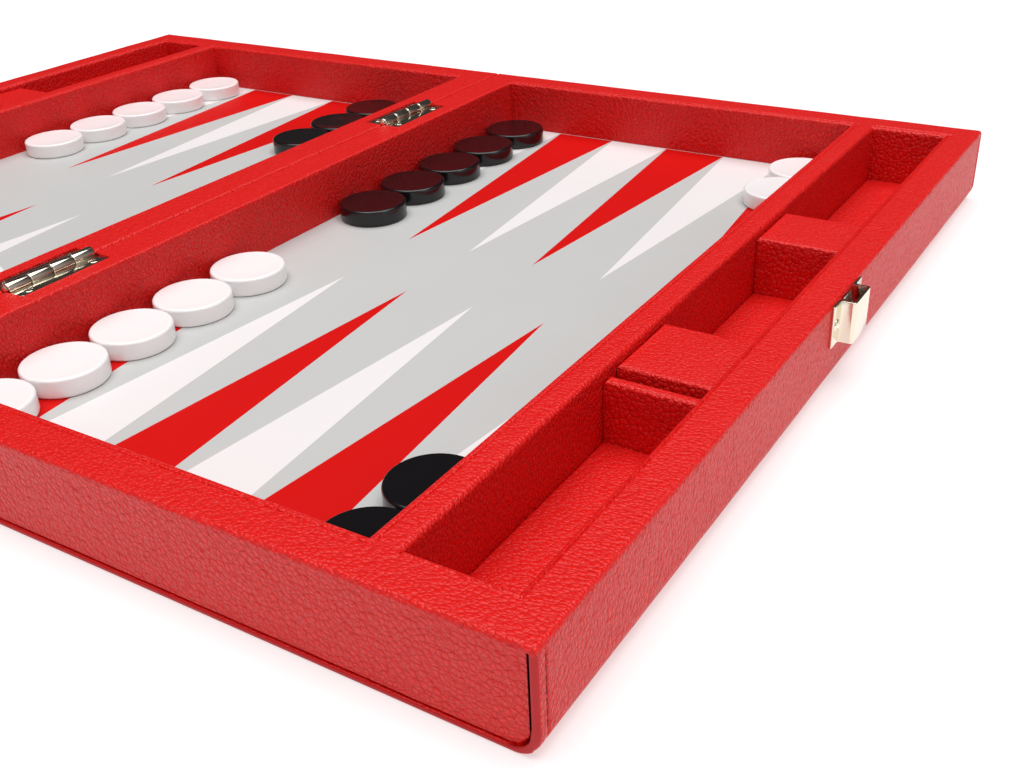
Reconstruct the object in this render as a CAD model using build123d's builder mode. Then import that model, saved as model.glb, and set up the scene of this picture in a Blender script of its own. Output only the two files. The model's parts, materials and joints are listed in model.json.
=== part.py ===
from build123d import *

import os

# A folding backgammon case lying open, with its checkers, dice and doubling cube.
# Millimetres. X runs across the two halves, Y from front to back along the fold and
# Z up. The origin is on the underside, below the middle of the fold.
# Each half is a leather-covered shell: a cover that is the bottom and the outer end,
# two long walls, the bar beside the fold, a tray wall, and a field panel with inlays.

# Case
half_width = 266.8        # fold to the outer end face
case_depth = 406.0
case_height = 33.4        # underside to rim
fold_gap = 0.3            # between the bars when open, between the rims when shut
cover_thickness = 2.2
cover_bend = 7.5          # outer radius where the cover turns up into the end
wall_thickness = 15.0
wall_inset = 0.6          # long walls stand back from the cover's edge
wall_gap = 0.3            # open line between a long wall's end and the cover
end_rail_thickness = 11.6 # behind the cover's upright end
rim_round = 1.8
end_rim_round = 0.9
fuse_overlap = 1.0        # depth to which rail and tray floor sink into the cover

# Field
bar_width = 17.4
point_pitch = 32.07
points_per_row = 6
point_length = 164.6
point_base_gap = 0.5      # between a point's base and the long wall
point_side_gap = 0.3      # between neighbouring bases
field_depth = 25.0        # rim to field
inlay_thickness = 0.8

# Trays
tray_wall_thickness = 10.6
tray_depth = 25.5         # rim to tray floor
block_drop = 2.5          # block tops below the rim
divider_drop = 4.0
block_side_gap = 0.2
near_block = (-77.0, -43.0)
far_block = (39.5, 70.0)
divider = (-86.0, -81.4)
block_round = 1.6

# Hinges
hinge_offset = 113.0      # each side of the middle
knuckle_length = 10.0
knuckles = 4
knuckle_gap = 0.3
barrel_radius = 2.5
pin_radius = 1.1
pin_clearance = 0.05
pin_head_radius = 1.8
pin_head_thickness = 0.5
barrel_clearance = 0.5    # groove in the bars around the barrel
leaf_clearance = 0.3      # leaf edge round the other leaf's knuckles
leaf_reach = 10.0
leaf_thickness = 1.2
leaf_drop = 0.4           # leaf face below the rim
leaf_round = 2.5
leaf_seat_gap = 0.2
leaf_screw_reach = 6.6
leaf_screw_offset = 15.0

# Screws
leaf_screw = {"head": 2.0, "shank": 0.95, "cone": 1.05, "dome": 0.25, "length": 9.0}
plate_screw = {"head": 2.2, "shank": 0.95, "cone": 0.0, "dome": 0.8, "length": 8.0}
screw_crown = 0.7         # flat top of a screw's dome, as a share of its head
screw_clearance = 0.06
screw_hole_excess = 1.0

# Catch: a keeper on the right end, a sliding bolt in a guide on the left end
catch_y = 3.3
plate_thickness = 1.0
flange_width = 6.4
channel_width = 16.0
channel_bend = 1.2
keeper_depth = 6.2        # how far each channel stands off the end face
guide_depth = 5.0
keeper_span = (17.3, 32.6)
guide_span = (8.0, 32.6)
spring_width = 7.0
spring_thickness = 0.5
spring_foot = 5.0         # flat part at the spring's lower end
spring_inset = 1.0        # spring ends from the keeper's ends
spring_crest = 4.0        # crest below the keeper's top
bolt_side_gap = 0.4
bolt_face_gap = 0.3
bolt_span = (9.5, 20.0)
tongue_top = 32.0
tongue_width = 12.0
tongue_setback = 1.9      # tongue's back face off the end face
bolt_travel = 12.0
knob_height = 14.5
knob_neck_radius = 1.6
knob_head_radius = 2.9
knob_head_thickness = 1.2
slot_clearance = 0.4

# Playing pieces
checker_radius = 15.4
checker_thickness = 7.5
checker_round = 1.9
checker_dish_radius = 12.2
checker_dish = 0.25
checker_pitch = 31.4
die_size = 13.0
die_round = 1.7
die_side_step = 15.0
cube_size = 19.0
cube_round = 2.0
white_dice_y = -11.0
red_dice_y = 5.0
cube_y = -30.0

# Worked out from the above
RIGHT, LEFT = 1, -1
NEAR, FAR = -1, 1
SIDE_NAMES = {RIGHT: "right", LEFT: "left"}
field_top = case_height - field_depth
tray_floor = case_height - tray_depth
field_edge = bar_width + points_per_row * point_pitch
tray_edge = field_edge + tray_wall_thickness
wall_end = half_width - cover_thickness
rail_face = wall_end - end_rail_thickness
wall_outside = case_depth / 2 - wall_inset
wall_inside = wall_outside - wall_thickness
point_base = wall_inside - point_base_gap
tray_middle = (tray_edge + rail_face) / 2
axis_height = case_height + fold_gap / 2
hinge_length = knuckles * knuckle_length
leaf_face = case_height - leaf_drop
keeper_pocket = channel_width - 2 * plate_thickness


def block(side, x_span, y_span, z_span, mode=Mode.ADD):
    """Add a box to the part being built, with x measured outward from the fold."""
    sizes = [high - low for low, high in (x_span, y_span, z_span)]
    middles = [(low + high) / 2 for low, high in (x_span, y_span, z_span)]
    with Locations((side * middles[0], middles[1], middles[2])):
        Box(*sizes, mode=mode)


def rod(radius, y_from, y_to, mode=Mode.ADD):
    """Add a round bar on the fold axis to the part being built."""
    with Locations((0, (y_from + y_to) / 2, axis_height)):
        Cylinder(radius, y_to - y_from, rotation=(90, 0, 0), mode=mode)


def rim_edges(part, axis):
    """The top edges at rim height that run along an axis."""
    return part.edges().filter_by(axis).group_by(Axis.Z)[-1]


def save(part, name):
    """Label a finished piece and write it out."""
    part.label = name
    export_step(part, f"parts/{name}.step")


def leaf_screw_places(side):
    """Where the screws go through one half's hinge leaves."""
    offsets = (hinge_offset + leaf_screw_offset, hinge_offset - leaf_screw_offset)
    return [
        (side * leaf_screw_reach, row * offset, leaf_face)
        for row in (NEAR, FAR)
        for offset in offsets
    ]


def plate_screw_places(side):
    """Where the screws go through the flanges of the plate on one end."""
    reach = channel_width / 2 + flange_width / 2
    height = sum(keeper_span) / 2
    return [
        (side * (half_width + plate_thickness), catch_y + row * reach, height)
        for row in (NEAR, FAR)
    ]


def outward(side, place):
    """The plane at a place on an end face whose Z points out of the case."""
    return Plane(place, x_dir=(0, 1, 0), z_dir=(side, 0, 0))


# Shells ------------------------------------------------------------------------

def make_cover(side):
    """Bottom and outer end in one bent sheet, with the end rail and the tray floor."""
    with BuildPart() as cover:
        with BuildSketch(Plane.XZ):
            with Locations((side * (half_width + fold_gap / 2) / 2, cover_thickness / 2)):
                Rectangle(half_width - fold_gap / 2, cover_thickness)
            with Locations((side * (half_width - cover_thickness / 2), case_height / 2)):
                Rectangle(cover_thickness, case_height)
        extrude(amount=case_depth / 2, both=True)
        outer_bend = cover.edges().filter_by(Axis.Y).sort_by_distance((side * half_width, 0, 0))[0]
        fillet(outer_bend, cover_bend)
        inner_bend = cover.edges().filter_by(Axis.Y).sort_by_distance(
            (side * wall_end, 0, cover_thickness))[0]
        fillet(inner_bend, cover_bend - cover_thickness)
        inside = (-wall_inside, wall_inside)
        sunk = cover_thickness - fuse_overlap
        block(side, (rail_face, wall_end), inside, (sunk, case_height))
        block(side, (tray_edge, rail_face), inside, (sunk, tray_floor))
        fillet(rim_edges(cover, Axis.Y).sort_by(Axis.X)[-1 if side == RIGHT else 0], end_rim_round)
        for place in plate_screw_places(side):
            with Locations(outward(side, place)):
                Cylinder(
                    plate_screw["shank"],
                    2 * plate_screw["length"] + screw_hole_excess,
                    mode=Mode.SUBTRACT,
                )
    return cover.part


def make_long_wall(side, row):
    """A front or back wall, rounded at its lower outer corner to follow the cover."""
    with BuildPart() as wall:
        block(
            side,
            (fold_gap / 2, wall_end - wall_gap),
            sorted((row * wall_inside, row * wall_outside)),
            (cover_thickness, case_height),
        )
        corner = (side * wall_end, row * wall_outside, cover_thickness)
        fillet(wall.edges().filter_by(Axis.Y).sort_by_distance(corner)[0], cover_bend - cover_thickness)
        fillet(rim_edges(wall, Axis.X), rim_round)
    return wall.part


def make_bar(side):
    """The wall beside the fold, with the seats and screw holes of the hinge leaves."""
    seat_floor = leaf_face - leaf_thickness
    half_seat = hinge_length / 2 + leaf_seat_gap
    half_groove = hinge_length / 2 + pin_head_thickness + leaf_seat_gap
    with BuildPart() as bar:
        block(
            side,
            (fold_gap / 2, bar_width),
            (-wall_inside, wall_inside),
            (cover_thickness, case_height),
        )
        fillet(rim_edges(bar, Axis.Y), rim_round)
        for middle in (-hinge_offset, hinge_offset):
            seat = (middle - half_seat, middle + half_seat)
            block(side, (0, leaf_reach + leaf_seat_gap), seat, (seat_floor, case_height), Mode.SUBTRACT)
            rod(barrel_radius + barrel_clearance, middle - half_groove, middle + half_groove, Mode.SUBTRACT)
        with Locations(*leaf_screw_places(side)):
            Cylinder(leaf_screw["shank"], 2 * leaf_screw["length"], mode=Mode.SUBTRACT)
    return bar.part


def make_tray_wall(side):
    """The wall between the field and the tray."""
    with BuildPart() as wall:
        block(
            side,
            (field_edge, tray_edge),
            (-wall_inside, wall_inside),
            (cover_thickness, case_height),
        )
        fillet(rim_edges(wall, Axis.Y), rim_round)
    return wall.part


def make_tray_blocks(side):
    """The two padded blocks and the thin divider that part the tray."""
    across = (tray_edge + block_side_gap, rail_face - block_side_gap)
    with BuildPart() as blocks:
        block(side, across, near_block, (tray_floor, case_height - block_drop))
        block(side, across, far_block, (tray_floor, case_height - block_drop))
        fillet(rim_edges(blocks, Axis.X), block_round)
        block(side, across, divider, (tray_floor, case_height - divider_drop))
    return blocks.part


# Field ---------------------------------------------------------------------------

def point_corners(side, index, row):
    """The corners of one long triangle, counted outward from the bar."""
    middle = side * (bar_width + (index + 0.5) * point_pitch)
    half_base = (point_pitch - point_side_gap) / 2
    base = row * point_base
    tip = row * (point_base - point_length)
    return (middle - half_base, base), (middle + half_base, base), (middle, tip)


def make_field_panel(side):
    """The playing surface, with a shallow pocket for each inlaid point."""
    with BuildPart() as panel:
        block(
            side,
            (bar_width, field_edge),
            (-wall_inside, wall_inside),
            (cover_thickness, field_top),
        )
        with BuildSketch(Plane.XY.offset(field_top)):
            for index in range(points_per_row):
                for row in (NEAR, FAR):
                    with BuildLine():
                        Polyline(*point_corners(side, index, row), close=True)
                    make_face()
        extrude(amount=-inlay_thickness, mode=Mode.SUBTRACT)
    return panel.part


def make_points(side, row_beside_bar):
    """The six inlays of one colour, starting beside the bar in the given row."""
    with BuildPart() as inlays:
        with BuildSketch(Plane.XY.offset(field_top)):
            for index in range(points_per_row):
                with BuildLine():
                    Polyline(*point_corners(side, index, row_beside_bar * (-1) ** index), close=True)
                make_face()
        extrude(amount=-inlay_thickness)
    return inlays.part


# Hinges --------------------------------------------------------------------------

def make_hinge_leaves(side):
    """One half's leaf of each hinge: the left has knuckles 0 and 2, the right 1 and 3."""
    own = 0 if side == LEFT else 1
    bore = pin_radius if side == LEFT else pin_radius + pin_clearance
    with BuildPart() as leaves:
        for middle in (-hinge_offset, hinge_offset):
            start = middle - hinge_length / 2
            end = middle + hinge_length / 2
            block(side, (0, leaf_reach), (start, end), (leaf_face - leaf_thickness, leaf_face))
        corners = leaves.edges().filter_by(Axis.Z)
        fillet(corners.group_by(Axis.X)[-1 if side == RIGHT else 0], leaf_round)
        for middle in (-hinge_offset, hinge_offset):
            start = middle - hinge_length / 2
            for number in range(knuckles):
                low = start + number * knuckle_length
                high = low + knuckle_length
                if number % 2 == own:
                    rod(barrel_radius, low + knuckle_gap / 2, high - knuckle_gap / 2)
                else:
                    rod(
                        barrel_radius + leaf_clearance,
                        low - knuckle_gap / 2,
                        high + knuckle_gap / 2,
                        Mode.SUBTRACT,
                    )
            rod(bore, start - leaf_round, start + hinge_length + leaf_round, Mode.SUBTRACT)
        with Locations(*leaf_screw_places(side)):
            CounterSinkHole(
                leaf_screw["shank"] + screw_clearance,
                leaf_screw["head"] + screw_clearance,
                depth=2 * leaf_thickness,
                counter_sink_angle=90,
            )
    return leaves.part


def make_hinge_pins():
    """The two pins, with a thin head at each end."""
    with BuildPart() as pins:
        for middle in (-hinge_offset, hinge_offset):
            start = middle - hinge_length / 2
            end = middle + hinge_length / 2
            rod(pin_radius, start, end)
            rod(pin_head_radius, start - pin_head_thickness, start)
            rod(pin_head_radius, end, end + pin_head_thickness)
    return pins.part


def make_screws(side):
    """All the screws of one half: four in the hinge leaves, two in the catch."""
    stands = [(Plane(place), leaf_screw) for place in leaf_screw_places(side)]
    stands += [(outward(side, place), plate_screw) for place in plate_screw_places(side)]
    down = (Align.CENTER, Align.CENTER, Align.MAX)
    up = (Align.CENTER, Align.CENTER, Align.MIN)
    with BuildPart() as screws:
        for stand, sizes in stands:
            with Locations(stand):
                Cylinder(sizes["shank"], sizes["length"], align=down)
                if sizes["cone"]:
                    Cone(sizes["shank"], sizes["head"], sizes["cone"], align=down)
                Cone(sizes["head"], screw_crown * sizes["head"], sizes["dome"], align=up)
    return screws.part


# Catch ---------------------------------------------------------------------------

def make_channel_plate(side, depth, z_span):
    """A plate bent into a channel with a flange each side, screwed to an end face."""
    with BuildPart() as plate:
        block(
            side,
            (half_width, half_width + plate_thickness),
            (catch_y - channel_width / 2 - flange_width, catch_y + channel_width / 2 + flange_width),
            z_span,
        )
        block(
            side,
            (half_width, half_width + depth),
            (catch_y - channel_width / 2, catch_y + channel_width / 2),
            z_span,
        )
        uprights = plate.edges().filter_by(Axis.Z)
        fillet(uprights.group_by(Axis.X)[-1 if side == RIGHT else 0], channel_bend)
        block(
            side,
            (half_width, half_width + depth - plate_thickness),
            (catch_y - keeper_pocket / 2, catch_y + keeper_pocket / 2),
            z_span,
            Mode.SUBTRACT,
        )
        for place in plate_screw_places(side):
            with Locations(outward(side, place)):
                Hole(plate_screw["shank"] + screw_clearance, depth=2 * plate_thickness)
    return plate.part


def make_bolt_guide():
    """The left plate, with a slot in its face for the bolt's knob."""
    with BuildPart() as guide:
        add(make_channel_plate(LEFT, guide_depth, guide_span))
        middle = knob_height + bolt_travel / 2
        with BuildSketch(outward(LEFT, (-half_width - guide_depth, catch_y, middle))):
            SlotCenterToCenter(bolt_travel, 2 * (knob_neck_radius + slot_clearance), rotation=90)
        extrude(amount=-guide_depth / 2, mode=Mode.SUBTRACT)
    return guide.part


def make_slide_bolt():
    """The sliding bolt: a thick body in the guide, a thin tongue and a round knob."""
    face = half_width + guide_depth - plate_thickness - bolt_face_gap
    half_body = keeper_pocket / 2 - bolt_side_gap
    with BuildPart() as bolt:
        block(
            LEFT,
            (half_width + bolt_face_gap, face),
            (catch_y - half_body, catch_y + half_body),
            bolt_span,
        )
        block(
            LEFT,
            (half_width + tongue_setback, face),
            (catch_y - tongue_width / 2, catch_y + tongue_width / 2),
            (bolt_span[1], tongue_top),
        )
        fillet(bolt.edges().filter_by(Axis.X).group_by(Axis.Z)[-1], tongue_width / 4)
        head_base = half_width + guide_depth + bolt_face_gap
        with BuildSketch(outward(LEFT, (-face, catch_y, knob_height))):
            Circle(knob_neck_radius)
        extrude(amount=head_base - face)
        with BuildSketch(outward(LEFT, (-head_base, catch_y, knob_height))):
            Circle(knob_head_radius)
        extrude(amount=knob_head_thickness)
    return bolt.part


def make_keeper_spring():
    """The bent leaf inside the keeper that presses on the bolt's tongue."""
    low = keeper_span[0] + spring_inset
    high = keeper_span[1] - spring_inset
    bend = low + spring_foot
    crest = keeper_span[1] - spring_crest
    bow = 2 * spring_thickness
    with BuildPart() as spring:
        with BuildSketch(Plane.XZ.offset(-catch_y)):
            with BuildLine():
                Polyline(
                    (half_width, low),
                    (half_width + spring_thickness, low),
                    (half_width + spring_thickness, bend),
                    (half_width + spring_thickness + bow, crest),
                    (half_width + spring_thickness, high),
                    (half_width, high),
                    (half_width + bow, crest),
                    (half_width, bend),
                    close=True,
                )
            make_face()
        extrude(amount=spring_width / 2, both=True)
    return spring.part


# Playing pieces ------------------------------------------------------------------

def make_checker(place):
    """A round-edged disc with a shallow dish in each face, standing on a place."""
    with BuildPart() as checker:
        with Locations(place):
            Cylinder(
                checker_radius,
                checker_thickness,
                align=(Align.CENTER, Align.CENTER, Align.MIN),
            )
        fillet(checker.edges(), checker_round)
        for dish_floor in (0, checker_thickness - checker_dish):
            with Locations((place[0], place[1], place[2] + dish_floor)):
                Cylinder(
                    checker_dish_radius,
                    checker_dish,
                    align=(Align.CENTER, Align.CENTER, Align.MIN),
                    mode=Mode.SUBTRACT,
                )
    return checker.part


def checker_column(side, index, row, count, wall_distance):
    """Places of the checkers on one point, the first at a distance from the long wall."""
    first = wall_inside - wall_distance - checker_radius
    x = side * (bar_width + (index + 0.5) * point_pitch)
    return [(x, row * (first - number * checker_pitch), field_top) for number in range(count)]


def make_cubes(places, size, edge_radius):
    """Round-edged cubes standing on the given places."""
    with BuildPart() as cubes:
        with Locations(*places):
            Box(size, size, size, align=(Align.CENTER, Align.CENTER, Align.MIN))
        fillet(cubes.edges(), edge_radius)
    return cubes.part


# Starting position: side, point counted from the bar, row, checkers, distance from the wall
WHITE_COLUMNS = (
    (RIGHT, 0, NEAR, 5, 1.25),
    (RIGHT, 5, FAR, 2, 4.9),
    (LEFT, 5, FAR, 5, 4.7),
    (LEFT, 1, NEAR, 3, 1.25),
)
BLACK_COLUMNS = (
    (RIGHT, 0, FAR, 5, 7.1),
    (RIGHT, 5, NEAR, 2, 1.5),
    (LEFT, 1, FAR, 3, 5.9),
    (LEFT, 5, NEAR, 5, 1.25),
)
BESIDE_BAR = {(RIGHT, "red"): NEAR, (RIGHT, "white"): FAR, (LEFT, "red"): FAR, (LEFT, "white"): NEAR}


def write_half(side):
    """Write every piece that the two halves have in common."""
    name = SIDE_NAMES[side]
    save(make_cover(side), f"{name}_cover")
    save(make_long_wall(side, NEAR), f"{name}_front_wall")
    save(make_long_wall(side, FAR), f"{name}_back_wall")
    save(make_bar(side), f"{name}_bar")
    save(make_tray_wall(side), f"{name}_tray_wall")
    save(make_tray_blocks(side), f"{name}_tray_blocks")
    save(make_field_panel(side), f"{name}_field_panel")
    for colour in ("red", "white"):
        save(make_points(side, BESIDE_BAR[side, colour]), f"{name}_{colour}_points")
    save(make_hinge_leaves(side), f"{name}_hinge_leaves")
    save(make_screws(side), f"{name}_screws")


def write_checkers(columns, colour):
    """Write one colour's fifteen checkers."""
    places = [place for column in columns for place in checker_column(*column)]
    for number, place in enumerate(places, 1):
        save(make_checker(place), f"{colour}_checker_{number:02d}")


def write_dice():
    """Write two pairs of dice and the doubling cube, which lie in the left tray."""
    left_middle = LEFT * tray_middle
    for colour, y in (("white", white_dice_y), ("red", red_dice_y)):
        pair = [(left_middle + step * die_side_step / 2, y, tray_floor) for step in (-1, 1)]
        save(make_cubes(pair, die_size, die_round), f"{colour}_dice")
    save(make_cubes([(left_middle, cube_y, tray_floor)], cube_size, cube_round), "doubling_cube")


os.makedirs("parts", exist_ok=True)
write_half(RIGHT)
write_half(LEFT)
save(make_hinge_pins(), "hinge_pins")
save(make_channel_plate(RIGHT, keeper_depth, keeper_span), "keeper")
save(make_keeper_spring(), "keeper_spring")
save(make_bolt_guide(), "bolt_guide")
save(make_slide_bolt(), "slide_bolt")
write_checkers(WHITE_COLUMNS, "white")
write_checkers(BLACK_COLUMNS, "black")
write_dice()
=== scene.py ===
import json
import math

import bmesh
import bpy
from mathutils import Matrix, Vector, noise


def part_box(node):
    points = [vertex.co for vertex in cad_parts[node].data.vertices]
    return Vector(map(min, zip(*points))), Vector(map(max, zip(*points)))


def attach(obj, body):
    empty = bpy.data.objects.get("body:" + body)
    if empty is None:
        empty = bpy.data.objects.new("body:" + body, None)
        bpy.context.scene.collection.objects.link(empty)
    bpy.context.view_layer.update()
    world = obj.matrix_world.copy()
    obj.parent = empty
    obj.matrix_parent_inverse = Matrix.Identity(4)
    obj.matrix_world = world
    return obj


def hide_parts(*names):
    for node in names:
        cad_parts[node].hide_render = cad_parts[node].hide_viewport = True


# A leather-covered folding backgammon case lying open, with its playing pieces.
# Metres, in the frame of the CAD model: X across the halves, Y along the fold, Z up.

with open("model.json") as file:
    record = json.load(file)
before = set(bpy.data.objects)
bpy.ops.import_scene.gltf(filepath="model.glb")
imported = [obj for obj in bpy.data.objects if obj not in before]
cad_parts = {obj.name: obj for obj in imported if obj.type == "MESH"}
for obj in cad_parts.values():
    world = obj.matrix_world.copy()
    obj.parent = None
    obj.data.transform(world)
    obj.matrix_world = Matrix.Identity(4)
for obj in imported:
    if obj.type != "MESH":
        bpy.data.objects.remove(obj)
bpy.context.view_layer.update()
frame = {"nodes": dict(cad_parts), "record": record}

MM = 0.001
SIDES = (("right", 1), ("left", -1))


# Sizes taken from the frame ------------------------------------------------------

def span(node, axis):
    """Lowest and highest coordinate of a CAD node along an axis."""
    low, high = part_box(node)
    return low[axis], high[axis]


FOLD_EDGE, BAR_EDGE = span("right_bar", 0)
FIELD_EDGE, TRAY_EDGE = span("right_tray_wall", 0)
END_FACE = span("right_cover", 0)[1]
RAIL_FACE = span("right_tray_blocks", 0)[1] + 0.2 * MM
WALL_INSIDE = span("right_bar", 1)[1]
CASE_EDGE = span("right_cover", 1)[1]
RIM = span("right_bar", 2)[1]
TRAY_FLOOR = span("right_tray_blocks", 2)[0]
FOLD_AXIS = RIM + FOLD_EDGE

TINY = 1e-7               # lengths shorter than this are nothing

# Leather work
STRIP = 2.4 * MM          # the cover's upright edge, seen beside the long walls
SHEET = 1.7 * MM          # the cover's bottom edge
SHEET_GAP = 0.55 * MM     # open line between the cover's bottom and the long walls
BEND = 7.5 * MM           # outer radius where the cover turns up into the end
GAP = 0.3 * MM            # open line between a long wall's end and the cover
EDGE = 0.6 * MM           # rounding of the cover's cut edges
WALL_FACE = CASE_EDGE - 0.5 * MM
WALL_END = END_FACE - STRIP
BEND_FOOT = BEND - math.sqrt(BEND ** 2 - (BEND - STRIP) ** 2)
BEND_INSIDE = BEND - STRIP + MM
WALL_FOOT = SHEET + SHEET_GAP
EDGE_ROUND = 1.5 * MM     # upright corners of the case
RIM_ROUND = 1.6 * MM
WELL_ROUND = 1.2 * MM
TRAY_ROUND = 1.8 * MM
LIP = 1.7 * MM            # folded lip round the tray
BACK_LIP = 3.0 * MM       # folded lip along the back of the tray
WELL_LIP = 2.5 * MM       # folded lip round the playing field
LIP_STEP = 0.12 * MM
LIP_GROOVE = 0.55 * MM
LIP_GROOVE_WIDTH = 0.3 * MM
SEAM = 3.9 * MM           # stitched seam on the end faces, from the upright corners
SEAM_DEPTH = 0.5 * MM
SEAM_WIDTH = 0.4 * MM
SKIN = 0.1 * MM           # leather's highest swelling stays this far inside the CAD model
FOOT_ROUND = 0.5 * MM     # lower and outer edges of the long walls
SWELL = 0.1 * MM          # soft unevenness of the leather

# Hinges
HINGE_HALF = 20 * MM
PIN_HEAD = 0.5 * MM
KNUCKLE = 10 * MM
KNUCKLE_GAP = 0.15 * MM   # at each end of a knuckle
BARREL_POCKET = 3.0 * MM
END_CLEAR = 0.3 * MM
POCKET_CLEAR = 0.8 * MM
LEAF_REACH = 10 * MM
LEAF_CLEAR = 0.25 * MM
LEAF_TOP = RIM - 0.4 * MM
LEAF_THICK = 1.2 * MM
LEAF_CORNER = 2.5 * MM
HINGE_OFFSET = (span("hinge_pins", 1)[1] + span("right_hinge_leaves", 1)[1] - PIN_HEAD) / 2 - HINGE_HALF


# Mesh helpers --------------------------------------------------------------------

def finish_mesh(bm, name, body, material, replaced=(), smooth=40.0):
    """Turn a bmesh into a piece that rides on a body, with smooth shading up to an angle."""
    bmesh.ops.recalc_face_normals(bm, faces=bm.faces)
    mesh = bpy.data.meshes.new(name)
    bm.to_mesh(mesh)
    bm.free()
    mesh.shade_smooth()
    mesh.set_sharp_from_angle(angle=math.radians(smooth))
    piece = bpy.data.objects.new(name, mesh)
    bpy.context.scene.collection.objects.link(piece)
    mesh.materials.append(material)
    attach(piece, body)
    if replaced:
        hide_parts(*replaced)
    return piece


def bevelled(bm, width, segments=2, angle=30.0):
    """Round every edge of a bmesh that is sharper than an angle."""
    sharp = [e for e in bm.edges if e.is_manifold and e.calc_face_angle() > math.radians(angle)]
    bmesh.ops.bevel(bm, geom=sharp, offset=width, segments=segments, profile=0.5, affect="EDGES")


def add_prism(bm, outline, low, high, place):
    """Add a solid with a flat outline to a bmesh; place turns (u, v, w) into a point."""
    rings = [[bm.verts.new(place(u, v, w)) for u, v in outline] for w in (low, high)]
    count = len(outline)
    for i in range(count):
        j = (i + 1) % count
        bm.faces.new((rings[0][i], rings[0][j], rings[1][j], rings[1][i]))
    bm.faces.new(rings[0][::-1])
    bm.faces.new(rings[1])


def add_lathe(bm, profile, segments, place):
    """Add a turned solid to a bmesh; profile is (radius, height) from end to end on the axis."""
    rings = []
    for radius, height in profile:
        if radius < TINY:
            rings.append([bm.verts.new(place(0, 0, height))])
        else:
            turns = [2 * math.pi * k / segments for k in range(segments)]
            points = [(radius * math.cos(t), radius * math.sin(t), height) for t in turns]
            rings.append([bm.verts.new(place(*point)) for point in points])
    for lower, upper in zip(rings, rings[1:]):
        for k in range(segments):
            n = (k + 1) % segments
            corners = [lower[k % len(lower)], lower[n % len(lower)]]
            corners += [upper[n % len(upper)], upper[k % len(upper)]]
            unique = list(dict.fromkeys(corners))
            if len(unique) > 2:
                bm.faces.new(unique)


def arc(centre, radius, start, end, steps):
    """Points along an arc, with angles in degrees."""
    turns = [math.radians(start + (end - start) * k / steps) for k in range(steps + 1)]
    return [(centre[0] + radius * math.cos(t), centre[1] + radius * math.sin(t)) for t in turns]


# Distances from an edge, in millimetres, of the grid lines beside it
NEAR_EDGE = (0, 0.1, 0.25, 0.45, 0.7, 1.0, 1.25, 1.5, 1.7, 1.9, 2.15, 2.35, 2.5, 2.65, 2.85, 3.0, 3.15, 3.4,
             3.65, 3.9, 4.15, 4.5, 5.2)
CLOSEST = 0.06 * MM


def graded(edges, coarse, reach=5.2):
    """Grid lines through a span: close together beside each edge, coarse between them."""
    low, high = min(edges), max(edges)
    lines = {edge + way * offset * MM for edge in edges for offset in NEAR_EDGE if offset <= reach
             for way in (-1, 1)}
    lines = sorted(line for line in lines if low - TINY <= line <= high + TINY)
    kept = [lines[0]]
    for line in lines[1:]:
        if line - kept[-1] > CLOSEST:
            kept.append(line)
        elif min(abs(line - edge) for edge in edges) < 1e-9:
            kept[-1] = line
    filled = []
    for a, b in zip(kept, kept[1:]):
        parts = max(1, math.ceil((b - a) / coarse))
        filled += [a + (b - a) * k / parts for k in range(parts)]
    return filled + [kept[-1]]


def softness(x, y, z, size, depth):
    """Slow uneven swelling of padded leather."""
    return depth * noise.noise(Vector((x / size, y / size, z / size)))


def outline_distance(x, y, box):
    """How far inside a rectangle a point is; negative outside."""
    x_low, x_high, y_low, y_high = box
    return min(x - x_low, x_high - x, y - y_low, y_high - y)


def rounding(distance, radius):
    """How far a rounded edge has dropped at a distance from it."""
    if distance >= radius:
        return 0.0
    inset = radius - max(distance, 0.0)
    return radius - math.sqrt(max(radius * radius - inset * inset, 0.0))


# Leather frame of one half -------------------------------------------------------

CASE = (FOLD_EDGE, END_FACE, -CASE_EDGE, CASE_EDGE)
WELL = (BAR_EDGE, FIELD_EDGE, -WALL_INSIDE, WALL_INSIDE)
TRAY = (TRAY_EDGE, RAIL_FACE, -WALL_INSIDE, WALL_INSIDE)


def lip_groove(distance, lip):
    """Depth of the line that marks the folded lip beside an opening."""
    step = LIP_STEP if distance < lip else 0.0
    return LIP_GROOVE * math.exp(-((distance - lip) / LIP_GROOVE_WIDTH) ** 2) + step


def rim_height(x, y):
    """Height of the leather rim over one half, with x measured outward from the fold."""
    inside = outline_distance(x, y, CASE)
    to_well = -outline_distance(x, y, WELL)
    to_tray = -outline_distance(x, y, TRAY)
    drop = rounding(inside, RIM_ROUND)
    drop += rounding(to_well, WELL_ROUND)
    drop += rounding(to_tray, TRAY_ROUND if x < TRAY_EDGE + MM else RIM_ROUND)
    if x > TRAY_EDGE:
        drop += lip_groove(to_tray, BACK_LIP if y > WALL_INSIDE else LIP)
    elif x > BAR_EDGE:
        drop += lip_groove(to_well, WELL_LIP)
    height = RIM - SKIN - drop + softness(x, y, 0, 22 * MM, SWELL)
    for middle in (-HINGE_OFFSET, HINGE_OFFSET):
        along = abs(y - middle)
        if x < LEAF_REACH + LEAF_CLEAR and along < HINGE_HALF + END_CLEAR:
            height = LEAF_TOP - LEAF_THICK - 0.05 * MM
        if x < BARREL_POCKET and along < HINGE_HALF + POCKET_CLEAR:
            reach = BARREL_POCKET + 0.01 * MM
            height = min(height, FOLD_AXIS - math.sqrt(max(reach ** 2 - x * x, 0.0)))
    return min(height, RIM)


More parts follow.
